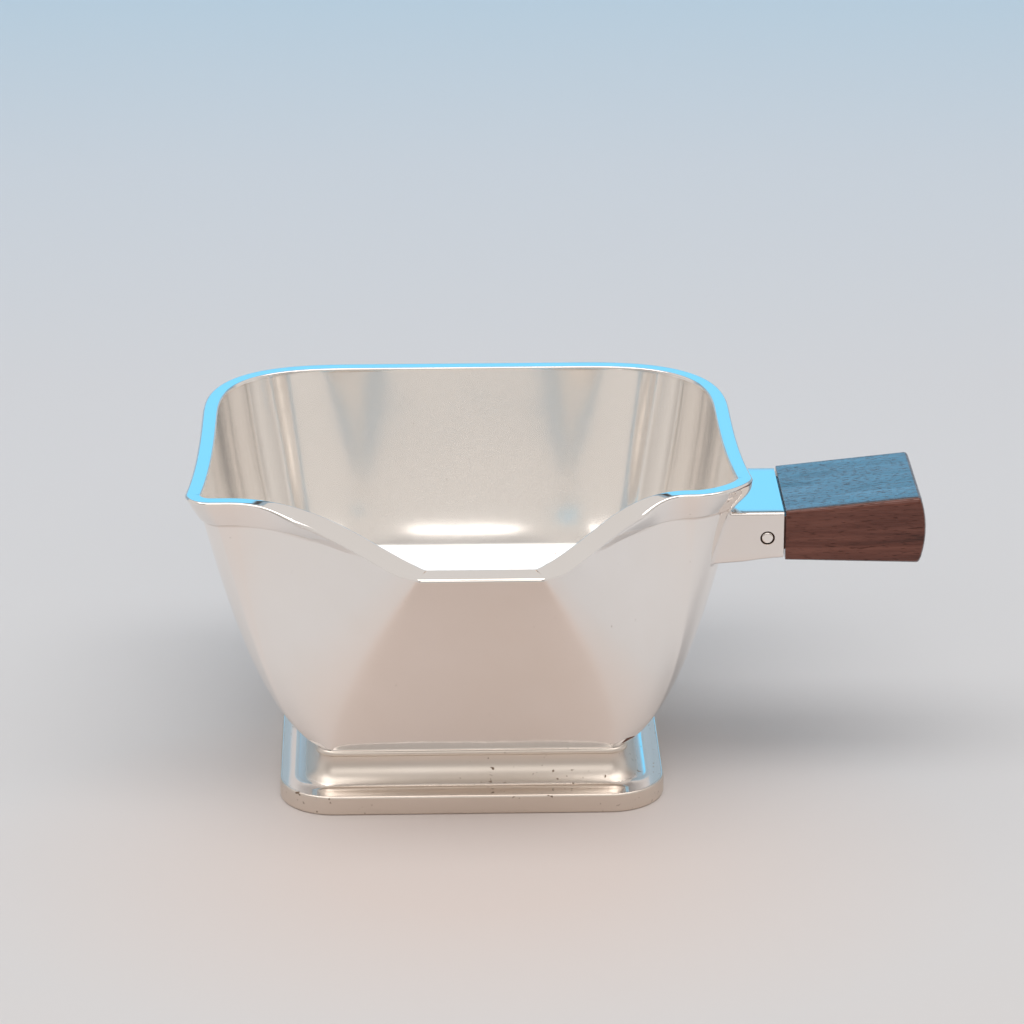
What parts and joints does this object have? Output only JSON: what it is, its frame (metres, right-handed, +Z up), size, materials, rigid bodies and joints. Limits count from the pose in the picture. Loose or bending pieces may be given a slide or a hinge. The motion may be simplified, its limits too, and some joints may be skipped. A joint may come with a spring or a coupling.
{
  "type": "sauce boat",
  "caption": "Square silver sauce boat with a pulled spout, a moulded rim with horned front corners, a spreading square foot and a pinned wooden side handle.",
  "frame": {"origin": "on the table plane, under the middle of the square foot", "axes": "+Z up, the spout points along -Y and the handle along +X"},
  "size_m": [0.1586, 0.1198, 0.068],
  "materials": {
    "bowl_silver": "polished sterling silver, warm white",
    "foot_silver": "polished sterling silver, warm white",
    "handle_silver": "polished sterling silver, warm white",
    "grip_wood": "oiled rosewood"
  },
  "bodies": {
    "root": {"bowl_shell": "bowl_silver", "rim_moulding": "bowl_silver", "neck_wire": "foot_silver", "foot": "foot_silver", "foot_band": "foot_silver", "handle_socket": "handle_silver", "grip": "grip_wood", "handle_pin": "handle_silver"}
  },
  "joints": []
}
